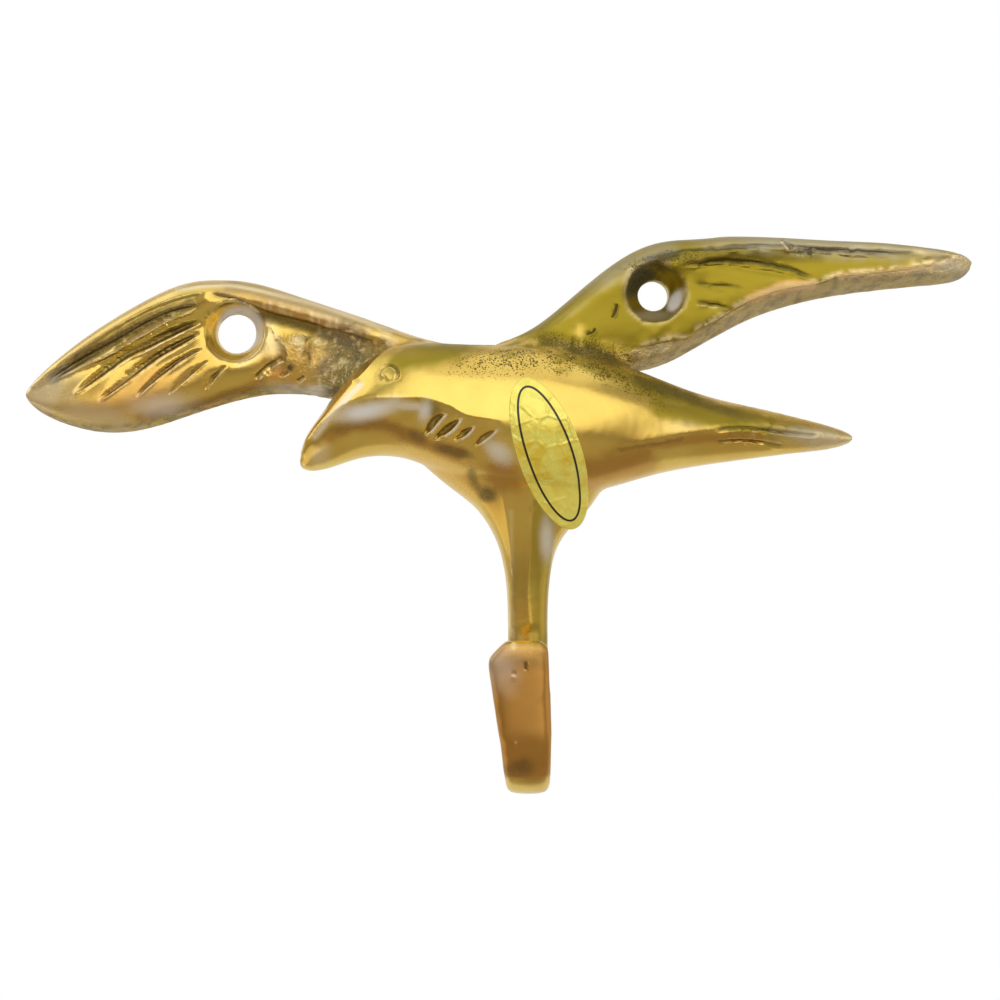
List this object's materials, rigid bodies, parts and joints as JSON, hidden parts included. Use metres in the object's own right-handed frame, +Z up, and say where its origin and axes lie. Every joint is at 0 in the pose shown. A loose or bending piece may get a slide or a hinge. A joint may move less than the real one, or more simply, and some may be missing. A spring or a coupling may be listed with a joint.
{
  "type": "decorative wall hook",
  "caption": "Cast brass wall hook in the shape of a flying bird, with a countersunk screw hole in each wing and a flat-ended hook hanging from its belly.",
  "frame": {"origin": "on the wall face, on the stem's centre line, level with the middle of the bird's body", "axes": "+X to the viewer's right along the wingspan, +Y into the wall, +Z up"},
  "size_m": [0.1519, 0.0219, 0.0874],
  "materials": {
    "cast_brass": "polished, with tarnish in the recesses",
    "label_foil": "metallic foil"
  },
  "bodies": {
    "root": {"bird_casting": "cast_brass", "oval_label": "label_foil"}
  },
  "joints": []
}
